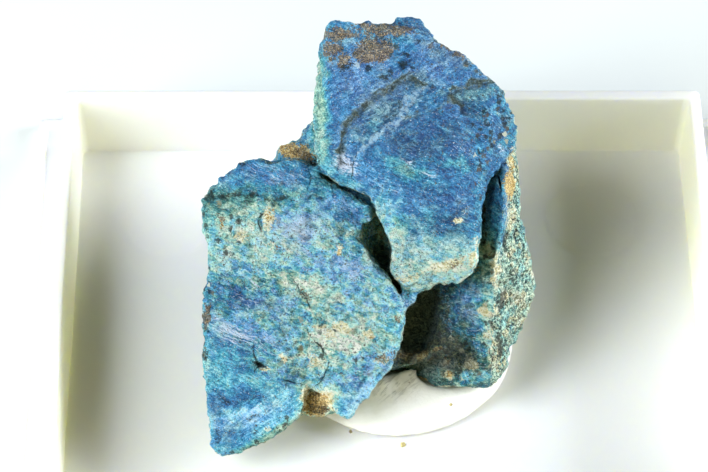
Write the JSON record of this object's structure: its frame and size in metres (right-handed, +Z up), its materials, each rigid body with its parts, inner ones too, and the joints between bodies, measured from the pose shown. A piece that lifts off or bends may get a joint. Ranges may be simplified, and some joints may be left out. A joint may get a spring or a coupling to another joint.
{
  "type": "aerinite mineral specimen",
  "caption": "Broken piece of blue aerinite rock, tilted to show its face and pressed into white putty in a shallow white display tray.",
  "frame": {"origin": "centre of the display tray's flat underside", "axes": "+X along the tray's long side, to the right of somebody facing the stone's blue face; +Y away from them; +Z up"},
  "size_m": [0.0884, 0.0734, 0.0386],
  "materials": {
    "rock": "rough, fibrous blue stone with green, cream and brown mottling",
    "putty": "matt warm white modelling putty",
    "tray": "smooth white moulded plastic"
  },
  "bodies": {
    "root": {"aerinite_rock": "rock", "putty": "putty", "display_tray": "tray"}
  },
  "joints": []
}
